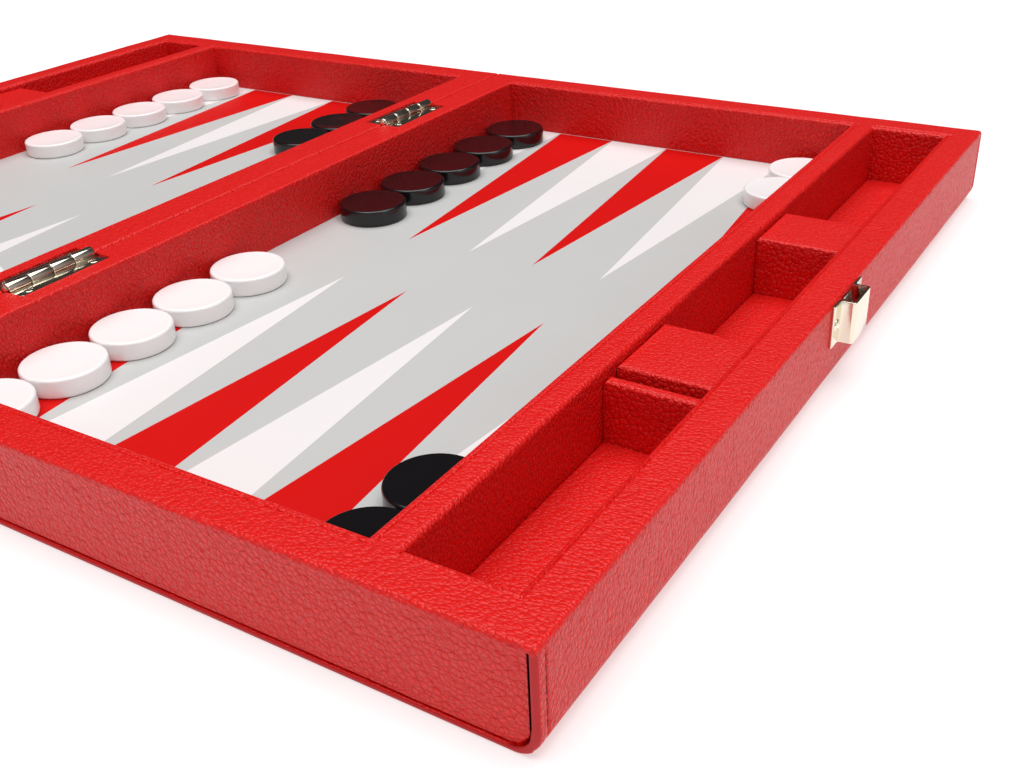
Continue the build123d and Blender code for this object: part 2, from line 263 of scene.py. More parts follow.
def owner(x, y):
    """Which wall a place on the rim belongs to, or None over an opening."""
    if outline_distance(x, y, WELL) > 0 or outline_distance(x, y, TRAY) > 0:
        return None
    if x > WALL_END or (x > RAIL_FACE and abs(y) < WALL_INSIDE):
        return "cover"
    if abs(y) > WALL_INSIDE:
        return "front_wall" if y < 0 else "back_wall"
    return "bar" if x < BAR_EDGE + 1e-6 else "tray_wall"


def share(value):
    """A number held between 0 and 1."""
    return min(max(value, 0.0), 1.0)


def outer_bend(z):
    """Furthest reach of the cover at a height, round its lower bend."""
    if z >= BEND:
        return END_FACE
    return END_FACE - BEND + math.sqrt(max(BEND ** 2 - (BEND - z) ** 2, 0.0))


def wall_place(part, x, y, z):
    """Where a point of a wall really lies: bent, inset, rounded and softly uneven."""
    sign = 1 if y > 0 else -1
    under_rim = z < RIM - RIM_ROUND - 0.3 * MM
    below = share((RIM - RIM_ROUND - z) / (2.5 * MM))
    if part == "cover":
        reach = outer_bend(z)
        x = min(x, reach)
        from_end, from_edge = reach - x, CASE_EDGE - abs(y)
        if from_end < TINY and under_rim:
            seam = SEAM_DEPTH * math.exp(-((from_edge - SEAM) / SEAM_WIDTH) ** 2)
            x += softness(0, y, z, 14 * MM, SWELL) - seam
        if from_end < EDGE_ROUND and from_edge < EDGE_ROUND:
            u, v = EDGE_ROUND - from_end, EDGE_ROUND - from_edge
            shrink = max(u, v) / max(math.hypot(u, v), 1e-9)
            x, y = reach - EDGE_ROUND + u * shrink, sign * (CASE_EDGE - EDGE_ROUND + v * shrink)
        elif from_edge < TINY and under_rim:
            fade = share((z - SHEET - BEND_INSIDE) / (2 * MM))
            y = sign * (CASE_EDGE - rounding(x - WALL_END, EDGE) * fade)
    elif part in ("front_wall", "back_wall"):
        reach = WALL_END
        if under_rim:
            reach = WALL_END - GAP
            into_bend = WALL_FOOT + BEND_INSIDE - z
            if into_bend > 0:
                reach -= BEND_INSIDE - math.sqrt(max(BEND_INSIDE ** 2 - into_bend ** 2, 0.0))
        x = min(x, reach)
        if abs(y) > CASE_EDGE - TINY:
            edge = rounding(min(z - WALL_FOOT, reach - x), FOOT_ROUND) if under_rim else 0.0
            y = sign * (CASE_EDGE - (CASE_EDGE - WALL_FACE) * below - edge)
            y += sign * softness(x, 0, z, 14 * MM, SWELL) * below
    return x, y, z


# Heights of the rows of faces down a wall's side, in metres, and above its foot, in millimetres
SIDE_ROWS = (0.022, 0.0175, 0.0135)
BEND_ROWS = (7.6, 6.6, 5.6, 4.6, 3.6, 2.7, 1.9, 1.3, 0.8, 0.45, 0.2, 0)


def wall_levels(part):
    """Heights of the rows of vertices down a wall's side, below its rim."""
    first = RIM - RIM_ROUND - 0.5 * MM
    rows = [first, first - 1.2 * MM, first - 3 * MM, *SIDE_ROWS]
    if part in ("bar", "tray_wall"):
        return rows + [SHEET]
    foot = BEND_FOOT if part == "cover" else WALL_FOOT
    return rows + [0.011] + [foot + offset * MM for offset in BEND_ROWS]


def rim_part(part, side, x_lines, y_lines):
    """A closed mesh of one wall: its share of the rim's surface, its sides and its underside."""
    bm = bmesh.new()
    levels = wall_levels(part)
    verts = {}

    def vertex(key, level):
        if (key, level) not in verts:
            x, y = x_lines[key[0]], y_lines[key[1]]
            top = rim_height(x, y)
            z = top if level == 0 else min(levels[level - 1], top - 0.35 * MM)
            x, y, z = wall_place(part, x, y, z)
            verts[key, level] = bm.verts.new((side * x, y, z))
        return verts[key, level]

    border = {}
    for i in range(len(x_lines) - 1):
        for j in range(len(y_lines) - 1):
            middle = ((x_lines[i] + x_lines[i + 1]) / 2, (y_lines[j] + y_lines[j + 1]) / 2)
            if owner(*middle) != part:
                continue
            loop = [(i, j), (i + 1, j), (i + 1, j + 1), (i, j + 1)]
            bm.faces.new([vertex(key, 0) for key in loop])
            for a, b in zip(loop, loop[1:] + loop[:1]):
                if (b, a) in border:
                    del border[b, a]
                else:
                    border[a, b] = True
    for a, b in border:
        for level in range(len(levels)):
            bm.faces.new((vertex(a, level), vertex(a, level + 1), vertex(b, level + 1), vertex(b, level)))
    following = dict(border.keys())
    while following:
        first, here = following.popitem()
        ring = [first]
        while here != first:
            ring.append(here)
            here = following.pop(here)
        bm.faces.new([vertex(key, len(levels)) for key in reversed(ring)])
    bmesh.ops.remove_doubles(bm, verts=bm.verts, dist=1e-6)
    return bm


def add_sheet(bm, side, xs, ys, lower, upper):
    """Add a closed plate whose faces follow two height functions of x and y."""
    top, under = [
        [[bm.verts.new((side * x, y, height(x, y))) for y in ys] for x in xs] for height in (upper, lower)
    ]
    x_count, y_count = len(xs) - 1, len(ys) - 1
    for i in range(x_count):
        for j in range(y_count):
            bm.faces.new((top[i][j], top[i + 1][j], top[i + 1][j + 1], top[i][j + 1]))
            bm.faces.new((under[i][j], under[i][j + 1], under[i + 1][j + 1], under[i + 1][j]))
    for i in range(x_count):
        for j in (0, y_count):
            bm.faces.new((top[i][j], under[i][j], under[i + 1][j], top[i + 1][j]))
    for j in range(y_count):
        for i in (0, x_count):
            bm.faces.new((top[i][j], top[i][j + 1], under[i][j + 1], under[i][j]))


def cover_bottom(bm, side):
    """The cover's underside sheet, turning up into the end, and the tray floor."""
    flat_end = WALL_END - BEND_INSIDE

    def upper(x, y):
        over = max(x - flat_end, 0.0)
        rise = BEND_INSIDE - math.sqrt(max(BEND_INSIDE ** 2 - over ** 2, 0.0))
        return SHEET + rise - rounding(CASE_EDGE - abs(y), EDGE)

    def lower(x, y):
        over = max(x - (END_FACE - BEND), 0.0)
        bend = BEND - math.sqrt(max(BEND ** 2 - over ** 2, 0.0))
        return bend + rounding(CASE_EDGE - abs(y), EDGE)

    def floor(x, y):
        inside = outline_distance(x, y, TRAY)
        return TRAY_FLOOR - SKIN + softness(x, y, 3, 12 * MM, 0.14 * MM) - rounding(inside, 0.8 * MM)

    ys = graded((-CASE_EDGE, CASE_EDGE), 14 * MM, 1.4)
    xs = graded((FOLD_EDGE, flat_end), 14 * MM, 0)
    steps = [flat_end + (WALL_END - flat_end) * k / 12 for k in range(1, 13)]
    add_sheet(bm, side, xs + steps, ys, lower, upper)
    xs = graded((TRAY_EDGE, RAIL_FACE), 2.5 * MM, 1.4)
    ys = graded((-WALL_INSIDE, WALL_INSIDE), 2.5 * MM, 1.4)
    add_sheet(bm, side, xs, ys, lambda x, y: SHEET / 2, floor)


PAD_GAP = 0.25 * MM
PAD_ROWS = 5
PAD_SWELL = 0.12 * MM


def pad_block(bm, side, y_span, top, radius, crown):
    """Add a padded block of the tray, rounded at the top and slightly crowned."""
    x_low, x_high = TRAY_EDGE + PAD_GAP, RAIL_FACE - PAD_GAP
    box = (x_low, x_high, y_span[0], y_span[1])
    half = min(x_high - x_low, y_span[1] - y_span[0]) / 2
    xs = graded((x_low, x_high), 3 * MM)
    ys = graded(y_span, 3 * MM)
    upper = []
    for x in xs:
        row = []
        for y in ys:
            inside = outline_distance(x, y, box)
            z = top - rounding(inside, radius) - crown * (1 - min(inside / half, 1.0)) ** 2
            z += softness(x, y, 5, 11 * MM, PAD_SWELL)
            row.append(bm.verts.new((side * x, y, min(z, top + 0.05 * MM))))
        upper.append(row)
    last_x, last_y = len(xs) - 1, len(ys) - 1
    for i in range(last_x):
        for j in range(last_y):
            bm.faces.new((upper[i][j], upper[i + 1][j], upper[i + 1][j + 1], upper[i][j + 1]))
    ring = [upper[i][0] for i in range(last_x)] + [upper[last_x][j] for j in range(last_y)]
    ring += [upper[i][last_y] for i in range(last_x, 0, -1)] + [upper[0][j] for j in range(last_y, 0, -1)]
    previous = ring
    for level in range(1, PAD_ROWS + 1):
        z = TRAY_FLOOR + (top - 2 * radius - TRAY_FLOOR) * (1 - level / PAD_ROWS)
        lower = []
        for v in ring:
            push = softness(v.co.x, v.co.y, z, 12 * MM, PAD_SWELL)
            outward = Vector((v.co.x - side * (x_low + x_high) / 2, v.co.y - sum(y_span) / 2))
            outward = outward.normalized() * min(push, 0.0)
            lower.append(bm.verts.new((v.co.x + outward.x, v.co.y + outward.y, z)))
        for k in range(len(ring)):
            n = (k + 1) % len(ring)
            bm.faces.new((previous[k], lower[k], lower[n], previous[n]))
        previous = lower
    bm.faces.new(previous[::-1])


# Materials -----------------------------------------------------------------------

def new_material(name, colour, roughness):
    """A material with a Principled shader; returns it with its node tree and shader."""
    material = bpy.data.materials.new(name)
    material.use_nodes = True
    nodes = material.node_tree
    shader = nodes.nodes["Principled BSDF"]
    shader.inputs["Base Color"].default_value = (*colour, 1)
    shader.inputs["Roughness"].default_value = roughness
    return material, nodes, shader


def add_node(tree, kind, **settings):
    """Add a shader node with its settings: plain ones by name, inputs in a dict."""
    node = tree.nodes.new(kind)
    inputs = settings.pop("inputs", {})
    for key, value in settings.items():
        setattr(node, key, value)
    for key, value in inputs.items():
        node.inputs[key].default_value = value
    return node


def maths(tree, operation, a, b=None):
    """A Math node on one or two sockets or numbers; returns its result."""
    node = add_node(tree, "ShaderNodeMath", operation=operation)
    for index, value in enumerate((a, b)):
        if value is None:
            continue
        if isinstance(value, (int, float)):
            node.inputs[index].default_value = value
        else:
            tree.links.new(value, node.inputs[index])
    return node.outputs[0]


def mix_colour(tree, factor, a, b):
    """A colour mixed between two by a socket; each is a colour or a socket."""
    node = add_node(tree, "ShaderNodeMix", data_type="RGBA")
    tree.links.new(factor, node.inputs["Factor"])
    for index, value in ((6, a), (7, b)):
        if isinstance(value, tuple):
            node.inputs[index].default_value = (*value, 1)
        else:
            tree.links.new(value, node.inputs[index])
    return node.outputs[2]


def stretched(tree, source, turn, scale):
    """Coordinates turned and then scaled, so that a pattern runs long one way."""
    node = add_node(tree, "ShaderNodeMapping", vector_type="POINT")
    node.inputs["Rotation"].default_value = [math.radians(a) for a in turn]
    node.inputs["Scale"].default_value = scale
    tree.links.new(source, node.inputs["Vector"])
    return node.outputs[0]


def remapped(tree, source, low, high, first=0.0, last=1.0, kind="LINEAR"):
    """A value between low and high moved to between first and last; returns the result."""
    node = add_node(tree, "ShaderNodeMapRange", interpolation_type=kind)
    for label, value in zip(("From Min", "From Max", "To Min", "To Max"), (low, high, first, last)):
        node.inputs[label].default_value = value
    tree.links.new(source, node.inputs["Value"])
    return node.outputs[0]


def noise_texture(tree, place, scale, detail, roughness=0.5):
    """A noise texture at some coordinates; returns its node."""
    inputs = {"Scale": scale, "Detail": detail, "Roughness": roughness}
    node = add_node(tree, "ShaderNodeTexNoise", inputs=inputs)
    tree.links.new(place, node.inputs["Vector"])
    return node


def voronoi_distance(tree, place, scale, feature, **inputs):
    """A Voronoi texture's distance at some coordinates."""
    node = add_node(tree, "ShaderNodeTexVoronoi", feature=feature, inputs={"Scale": scale, **inputs})
    tree.links.new(place, node.inputs["Vector"])
    return node.outputs["Distance"]


def add_bump(tree, shader, height, distance, strength):
    """Give a shader relief from a height; strength is a number or a socket."""
    bump = add_node(tree, "ShaderNodeBump", inputs={"Distance": distance})
    if isinstance(strength, float):
        bump.inputs["Strength"].default_value = strength
    else:
        tree.links.new(strength, bump.inputs["Strength"])
    tree.links.new(height, bump.inputs["Height"])
    tree.links.new(bump.outputs[0], shader.inputs["Normal"])


GRAIN = 1000 / 1.1        # grains in a metre, along Y
GRAIN_STRETCH = (0.65, 1.0, 0.65)
GRAIN_WOBBLE = 0.0009
GRAIN_HEIGHT = 0.34 * MM
TOP_RELIEF = 0.5          # relief on level faces, as a share of that on upright ones


def leather(name, colour, crease_shade_colour, roughness=0.36, gloss=0.36):
    """Pebbled leather: irregular rounded grains, with painted shade darkening the creases between them."""
    material, tree, shader = new_material(name, colour, roughness)
    coordinates = add_node(tree, "ShaderNodeTexCoord")
    place = coordinates.outputs["Object"]
    facing = add_node(tree, "ShaderNodeSeparateXYZ")
    tree.links.new(coordinates.outputs["Normal"], facing.inputs[0])
    relief = remapped(tree, maths(tree, "ABSOLUTE", facing.outputs["Z"]), 0.3, 0.9, 1.0, TOP_RELIEF)

    drawn = stretched(tree, place, (0, 0, 0), GRAIN_STRETCH)
    wobble = noise_texture(tree, drawn, 0.6 * GRAIN, 2.0)
    shift = add_node(tree, "ShaderNodeVectorMath", operation="MULTIPLY_ADD")
    tree.links.new(wobble.outputs["Color"], shift.inputs[0])
    shift.inputs[1].default_value = (GRAIN_WOBBLE,) * 3
    tree.links.new(drawn, shift.inputs[2])
    wavy = shift.outputs[0]
    to_edge = voronoi_distance(tree, wavy, GRAIN, "DISTANCE_TO_EDGE")
    reach = voronoi_distance(tree, wavy, GRAIN, "SMOOTH_F1", Smoothness=0.2)
    ripple = noise_texture(tree, wavy, 1.6 * GRAIN, 3.0, 0.6)
    slow = noise_texture(tree, place, 28.0, 3.0)

    edge = remapped(tree, to_edge, 0.0, 0.2, kind="SMOOTHSTEP")
    dome = maths(tree, "MULTIPLY", maths(tree, "MULTIPLY", reach, reach), -1.6)
    height = maths(tree, "ADD", maths(tree, "MULTIPLY", edge, 0.3), dome)
    height = maths(tree, "ADD", height, maths(tree, "MULTIPLY", ripple.outputs["Fac"], 0.55))
    add_bump(tree, shader, height, GRAIN_HEIGHT, relief)

    patch = remapped(tree, slow.outputs["Fac"], 0.35, 0.7)
    deeper = tuple(0.86 * c for c in colour)
    # Painted shade: the creases between the grains take the darker crease colour.
    crease_shaded_tone = mix_colour(tree, edge, crease_shade_colour, colour)
    tone = mix_colour(tree, maths(tree, "MULTIPLY", patch, 0.3), crease_shaded_tone, deeper)
    tree.links.new(tone, shader.inputs["Base Color"])
    rough = remapped(tree, reach, 0.0, 1.0, roughness - 0.08, roughness + 0.14)
    tree.links.new(rough, shader.inputs["Roughness"])
    shader.inputs["Specular IOR Level"].default_value = gloss
    return material


def smooth_leather(name, colour, roughness=0.5, gloss=0.3):
    """Fine smooth leather of the playing field, with faint pores and patches."""
    material, tree, shader = new_material(name, colour, roughness)
    place = add_node(tree, "ShaderNodeTexCoord").outputs["Object"]
    pores = noise_texture(tree, place, 1400.0, 2.0)
    slow = noise_texture(tree, place, 18.0, 4.0)
    darker = tuple(0.94 * c for c in colour)
    tree.links.new(mix_colour(tree, slow.outputs["Fac"], darker, colour), shader.inputs["Base Color"])
    add_bump(tree, shader, pores.outputs["Fac"], 0.05 * MM, 0.35)
    shader.inputs["Specular IOR Level"].default_value = gloss
    return material


def polished_plastic(name, colour, roughness=0.12):
    """Glossy moulded resin with a faint unevenness in its polish."""
    material, tree, shader = new_material(name, colour, roughness)
    place = add_node(tree, "ShaderNodeTexCoord").outputs["Object"]
    haze = noise_texture(tree, place, 90.0, 5.0).outputs["Fac"]
    rough = remapped(tree, haze, 0.0, 1.0, roughness * 0.6, roughness * 1.6)
    tree.links.new(rough, shader.inputs["Roughness"])
    add_bump(tree, shader, haze, 0.02 * MM, 0.15)
    return material


def polished_metal(name, colour, roughness=0.13):
    """Polished nickel with light brushing and handling haze."""
    material, tree, shader = new_material(name, colour, roughness)
    shader.inputs["Metallic"].default_value = 1.0
    place = add_node(tree, "ShaderNodeTexCoord").outputs["Object"]
    brushed = noise_texture(tree, stretched(tree, place, (0, 0, 0), (900.0, 60.0, 900.0)), 1.0, 3.0)
    haze = noise_texture(tree, place, 160.0, 4.0).outputs["Fac"]
    rough = remapped(tree, haze, 0.0, 1.0, roughness * 0.5, roughness * 1.7)
    tree.links.new(rough, shader.inputs["Roughness"])
    add_bump(tree, shader, brushed.outputs["Fac"], 0.02 * MM, 0.12)
    return material


# The second colour is the painted shade in the creases between the grains.
RED = leather("red_leather", (0.77, 0.008, 0.006), (0.64, 0.005, 0.004))
CUT_EDGE = smooth_leather("cut_edge_leather", (0.5, 0.005, 0.008), 0.45)
FIELD = smooth_leather("field_leather", (0.56, 0.56, 0.55))
INLAY_RED = smooth_leather("inlay_red", (0.635, 0.006, 0.005), 0.5, 0.08)
INLAY_WHITE = smooth_leather("inlay_white", (0.84, 0.80, 0.80))
NICKEL = polished_metal("polished_nickel", (0.83, 0.75, 0.62))
STEEL = polished_metal("spring_steel", (0.62, 0.60, 0.56), 0.25)
BLACK = polished_plastic("black_resin", (0.006, 0.005, 0.006), 0.14)
WHITE = polished_plastic("white_resin", (0.92, 0.90, 0.90), 0.16)
DIE_RED = polished_plastic("red_resin", (0.62, 0.012, 0.016), 0.14)
THREAD = smooth_leather("red_thread", (0.16, 0.004, 0.005), 0.6)


# Leather pieces ------------------------------------------------------------------

BODY = {node: body for body, nodes in frame["record"]["behaviour"]["bodies"].items() for node in nodes}


def make(bm, name, node, material, smooth=40.0):
    """Finish a piece that stands for a CAD node of the same body."""
    piece = finish_mesh(bm, name, BODY[node], material, (node,), smooth)
    return piece


def make_extra(bm, name, body, material, smooth=40.0):
    """Finish a piece that has no CAD node of its own."""
    piece = finish_mesh(bm, name, body, material, (), smooth)
    return piece


hinge_lines = [
    sign * HINGE_OFFSET + way * (HINGE_HALF + extra)
    for sign in (-1, 1) for way in (-1, 1) for extra in (END_CLEAR, POCKET_CLEAR)
]
X_EDGES = (FOLD_EDGE, BARREL_POCKET, LEAF_REACH + LEAF_CLEAR, BAR_EDGE, FIELD_EDGE, TRAY_EDGE, RAIL_FACE,
           WALL_END, END_FACE)
COARSE = 5 * MM
X_LINES = graded(X_EDGES, COARSE)
Y_LINES = graded([-CASE_EDGE, -WALL_INSIDE, WALL_INSIDE, CASE_EDGE] + hinge_lines, COARSE)
DIVIDER = 4.6 * MM        # thickness
DIVIDER_DROP = 1.3 * MM   # its top below the blocks' tops
NEAR_BLOCK = (9 * MM, 43 * MM)
FAR_BLOCK = 30.5 * MM
FIELD_MATERIALS = (("field_panel", FIELD), ("red_points", INLAY_RED), ("white_points", INLAY_WHITE))

for side_name, side in SIDES:
    for part in ("front_wall", "back_wall", "bar", "tray_wall", "cover"):
        bm = rim_part(part, side, X_LINES, Y_LINES)
        if part == "cover":
            cover_bottom(bm, side)
        leather_part = make(bm, f"{side_name}_{part}_leather", f"{side_name}_{part}", RED)
        if part == "cover":
            leather_part.data.materials.append(CUT_EDGE)
            for face in leather_part.data.polygons:
                place = face.center
                at_edge = abs(place.y) > CASE_EDGE - MM and place.z < RIM - 2 * MM
                if at_edge and abs(face.normal.y) > 0.5:
                    face.material_index = 1

    blocks = bmesh.new()
    block_top = span(f"{side_name}_tray_blocks", 2)[1]
    low, high = span(f"{side_name}_tray_blocks", 1)
    pad_block(blocks, side, (low, low + DIVIDER), block_top - DIVIDER_DROP, 1.6 * MM, 0.0)
    for ends in ((low + NEAR_BLOCK[0], low + NEAR_BLOCK[1]), (high - FAR_BLOCK, high)):
        pad_block(blocks, side, ends, block_top, 1.2 * MM, 0.3 * MM)
    make(blocks, f"{side_name}_tray_pads", f"{side_name}_tray_blocks", RED)

    for node, material in FIELD_MATERIALS:
        mesh = frame["nodes"][f"{side_name}_{node}"].data
        mesh.materials.clear()
        mesh.materials.append(material)


# Hinges --------------------------------------------------------------------------

SLOT_DEPTH = 0.35 * MM


def add_screw_head(bm, radius, dome, lowest, slot_half, slot_reach, turn, place):
    """Add a domed screw head with a crossed slot pressed into it."""
    rings, segments = 20, 48
    turns = [2 * math.pi * k / segments for k in range(segments)]

    def ring(r, height):
        return [bm.verts.new(place(r * math.cos(t), r * math.sin(t), height(r, t - turn))) for t in turns]

    def domed(r, t):
        u, v = sorted((abs(r * math.cos(t)), abs(r * math.sin(t))))
        in_slot = u < slot_half and v < slot_reach
        return dome * math.sqrt(max(1 - (r / radius) ** 2, 0.0)) - (SLOT_DEPTH if in_slot else 0.0)

    middle = bm.verts.new(place(0, 0, dome - SLOT_DEPTH))
    grid = [ring(radius * i / rings, domed) for i in range(1, rings + 1)]
    grid.append(ring(0.9 * radius, lambda r, t: lowest))
    for k in range(segments):
        n = (k + 1) % segments
        bm.faces.new((middle, grid[0][k], grid[0][n]))
        for inner, outer in zip(grid, grid[1:]):
            bm.faces.new((inner[k], outer[k], outer[n], inner[n]))
    bm.faces.new(grid[-1][::-1])


KNUCKLE_PROFILE = [(0, 0), (2.05, 0), (2.3, 0.06), (2.45, 0.2), (2.5, 0.42),
                   (2.5, 9.28), (2.45, 9.5), (2.3, 9.64), (2.05, 9.7), (0, 9.7)]
PIN_PROFILE = [(0, 0), (0.8, 0.04), (1.35, 0.16), (1.7, 0.36), (1.8, 0.5), (1.1, 0.5), (1.1, 40.5),
               (1.8, 40.5), (1.7, 40.64), (1.35, 40.84), (0.8, 40.96), (0, 41)]


def millimetres(profile):
    """A profile given in millimetres, in metres."""
    return [(a * MM, b * MM) for a, b in profile]


def on_fold(y):
    """Places a lathe along the fold axis, starting at y."""
    return lambda u, v, w: (u, y + w, FOLD_AXIS + v)


for side_name, side in SIDES:
    leaves = bmesh.new()
    own = 1 if side > 0 else 0
    for middle in (-HINGE_OFFSET, HINGE_OFFSET):
        start = middle - HINGE_HALF
        corner, far = LEAF_REACH - LEAF_CORNER, start + 2 * HINGE_HALF - LEAF_CORNER
        round_low = arc((corner, start + LEAF_CORNER), LEAF_CORNER, -90, 0, 6)
        round_high = arc((corner, far), LEAF_CORNER, 0, 90, 6)
        edge = []
        for number in (3, 2, 1, 0):
            near = 1.0 * MM if number % 2 == own else 2.85 * MM
            slack = 0 if number % 2 == own else KNUCKLE_GAP
            edge.append((near, start + (number + 1) * KNUCKLE + (slack if number < 3 else 0)))
            edge.append((near, start + number * KNUCKLE - (slack if number else 0)))
        plate = bmesh.new()
        add_prism(plate, round_low + round_high + edge, LEAF_TOP - LEAF_THICK, LEAF_TOP,
                  lambda u, v, w: (side * u, v, w))
        bmesh.ops.recalc_face_normals(plate, faces=plate.faces)
        bevelled(plate, 0.22 * MM, 2, 50)
        mesh = bpy.data.meshes.new("plate")
        plate.to_mesh(mesh)
        plate.free()
        leaves.from_mesh(mesh)
        bpy.data.meshes.remove(mesh)
        for number in (own, own + 2):
            foot = start + number * KNUCKLE + KNUCKLE_GAP
            add_lathe(leaves, millimetres(KNUCKLE_PROFILE), 48, on_fold(foot))
    make(leaves, f"{side_name}_hinge_plates", f"{side_name}_hinge_leaves", NICKEL)

pins = bmesh.new()
for middle in (-HINGE_OFFSET, HINGE_OFFSET):
    add_lathe(pins, millimetres(PIN_PROFILE), 32, on_fold(middle - HINGE_HALF - PIN_HEAD))
make(pins, "hinge_pins_polished", "hinge_pins", NICKEL)


# Catch ---------------------------------------------------------------------------

KEEPER_LOW, KEEPER_HIGH = span("keeper", 1)
CATCH_Y = (KEEPER_LOW + KEEPER_HIGH) / 2
PLATE = 1.0 * MM
CHANNEL = 16.0 * MM
FLANGE = 6.4 * MM
KEEPER_DEPTH = 6.2 * MM
GUIDE_DEPTH = 5 * MM
SCREW_HEIGHT = sum(span("keeper", 2)) / 2


def hat_outline(depth):
    """Outline of a plate bent into a hat section, as (reach outward, place along Y)."""
    half, total, bend = CHANNEL / 2, CHANNEL / 2 + FLANGE, 1.3 * MM
    inner = half - PLATE
    right = [(0, total), (PLATE, total)] + [(PLATE, half + 0.9 * MM), (PLATE + 0.25 * MM, half + 0.25 * MM)]
    right += [(PLATE + 0.9 * MM, half)]
    right += [(depth - bend + u, half - bend + v) for u, v in arc((0, 0), bend, 90, 0, 6)]
    left = [(u, -v) for u, v in reversed(right)]
    back = [(0, -inner), (depth - PLATE - 0.4 * MM, -inner), (depth - PLATE, -inner + 0.4 * MM),
            (depth - PLATE, inner - 0.4 * MM), (depth - PLATE - 0.4 * MM, inner), (0, inner)]
    return right + left + back


def on_end(side):
    """Places (reach outward, place along Y, height) at an outer end of the case."""
    return lambda u, v, w: (side * (END_FACE + u), CATCH_Y + v, w)


def facing_end(side):
    """Places (place along Y, height, reach outward) at an outer end of the case."""
    return lambda u, v, w: (side * (END_FACE + w), CATCH_Y + u, v)


def hat_plate(node, side, depth):
    """The keeper or the bolt guide: a bent plate with rounded edges."""
    bm = bmesh.new()
    low, high = span(node, 2)
    add_prism(bm, hat_outline(depth), low, high, on_end(side))
    bmesh.ops.recalc_face_normals(bm, faces=bm.faces)
    bevelled(bm, 0.2 * MM, 2, 50)
    return bm


make(hat_plate("keeper", 1, KEEPER_DEPTH), "keeper_plate", "keeper", NICKEL)
guide = make(hat_plate("bolt_guide", -1, GUIDE_DEPTH), "bolt_guide_plate", "bolt_guide", NICKEL)
cutter_bm = bmesh.new()
slot_radius, slot_low, slot_high = 2.0 * MM, 14.5 * MM, 26.5 * MM
slot_outline = arc((0, slot_high), slot_radius, 0, 180, 12) + arc((0, slot_low), slot_radius, 180, 360, 12)
add_prism(cutter_bm, slot_outline, 3.2 * MM, 8 * MM, facing_end(-1))
bmesh.ops.recalc_face_normals(cutter_bm, faces=cutter_bm.faces)
cutter_mesh = bpy.data.meshes.new("slot_cutter")
cutter_bm.to_mesh(cutter_mesh)
cutter_bm.free()
cutter = bpy.data.objects.new("slot_cutter", cutter_mesh)
bpy.context.scene.collection.objects.link(cutter)
cut = guide.modifiers.new("slot", "BOOLEAN")
cut.operation = "DIFFERENCE"
cut.solver = "EXACT"
cut.object = cutter
bpy.context.view_layer.update()
cut_mesh = bpy.data.meshes.new_from_object(guide.evaluated_get(bpy.context.evaluated_depsgraph_get()))
guide.modifiers.remove(cut)
guide.data = cut_mesh
bpy.data.objects.remove(cutter)
bpy.data.meshes.remove(cutter_mesh)

bolt = bmesh.new()
body_outline = [(-6.6, 9.9), (-6.2, 9.5), (6.2, 9.5), (6.6, 9.9), (6.6, 19.6), (6.1, 20.2),
                (6.0, 21), (6.0, 28.4), (5.4, 30.7), (4.0, 32.0), (-4.0, 32.0), (-5.4, 30.7), (-6.0, 28.4),
                (-6.0, 21), (-6.1, 20.2), (-6.6, 19.6)]
add_prism(bolt, millimetres(body_outline), 1.95 * MM, 3.7 * MM, facing_end(-1))
heel = [(-6.6, 9.9), (-6.2, 9.5), (6.2, 9.5), (6.6, 9.9), (6.6, 19.6), (6.2, 20), (-6.2, 20), (-6.6, 19.6)]
add_prism(bolt, millimetres(heel), 0.35 * MM, 1.95 * MM, facing_end(-1))
bmesh.ops.recalc_face_normals(bolt, faces=bolt.faces)
bevelled(bolt, 0.18 * MM, 2, 50)
knob = [(0, 3.6), (1.55, 3.6), (1.6, 5.3), (2.75, 5.3), (2.9, 5.45), (2.9, 6.15), (2.7, 6.4), (2.3, 6.5),
        (1.9, 6.42), (0, 6.3)]
add_lathe(bolt, millimetres(knob), 40, lambda u, v, w: (-(END_FACE + w), CATCH_Y + u, slot_low + v))
make(bolt, "slide_bolt_polished", "slide_bolt", NICKEL)

SPRING_HALF = 3.5 * MM
SPRING_THICK = 0.45 * MM
SPRING_STEPS = 24
spring = bmesh.new()
low, high = span("keeper_spring", 2)
inner_line, outer_line = [], []
for k in range(SPRING_STEPS + 1):
    t = k / SPRING_STEPS
    bow = 1.15 * MM * math.exp(-((t - 0.72) / 0.2) ** 2) + 0.1 * MM
    z = low + (high - low) * t
    inner_line.append((bow, z))
    outer_line.append((bow + SPRING_THICK, z))
add_prism(spring, outer_line + inner_line[::-1], -SPRING_HALF, SPRING_HALF,
          lambda u, v, w: (END_FACE + u, CATCH_Y + w, v))
bmesh.ops.recalc_face_normals(spring, faces=spring.faces)
bevelled(spring, 0.1 * MM, 1, 50)
make(spring, "keeper_spring_leaf", "keeper_spring", STEEL)

LEAF_SCREW = (6.6 * MM, 15 * MM)   # from the fold, and each side of the hinge's middle
PLATE_SCREW = 11.2 * MM            # each side of the catch's middle


def leaf_screw(side, y):
    """Places a screw head on a hinge leaf."""
    return lambda u, v, w: (side * LEAF_SCREW[0] + u, y + v, LEAF_TOP + 0.02 * MM + w)


def plate_screw(side, y):
    """Places a screw head on the keeper or the bolt guide."""
    return lambda u, v, w: (side * (END_FACE + PLATE + w), y + u, SCREW_HEIGHT + v)


turn = 0.4
for side_name, side in SIDES:
    screws = bmesh.new()
    for middle in (-HINGE_OFFSET, HINGE_OFFSET):
        for offset in (-LEAF_SCREW[1], LEAF_SCREW[1]):
            turn += 1.3
            add_screw_head(screws, 2.0 * MM, 0.28 * MM, -0.8 * MM, 0.2 * MM, 1.15 * MM, turn,
                           leaf_screw(side, middle + offset))
    for offset in (-PLATE_SCREW, PLATE_SCREW):
        turn += 1.1
        add_screw_head(screws, 2.2 * MM, 0.9 * MM, -0.6 * MM, 0.24 * MM, 1.25 * MM, turn,
                       plate_screw(side, CATCH_Y + offset))
    make(screws, f"{side_name}_screw_heads", f"{side_name}_screws", NICKEL)


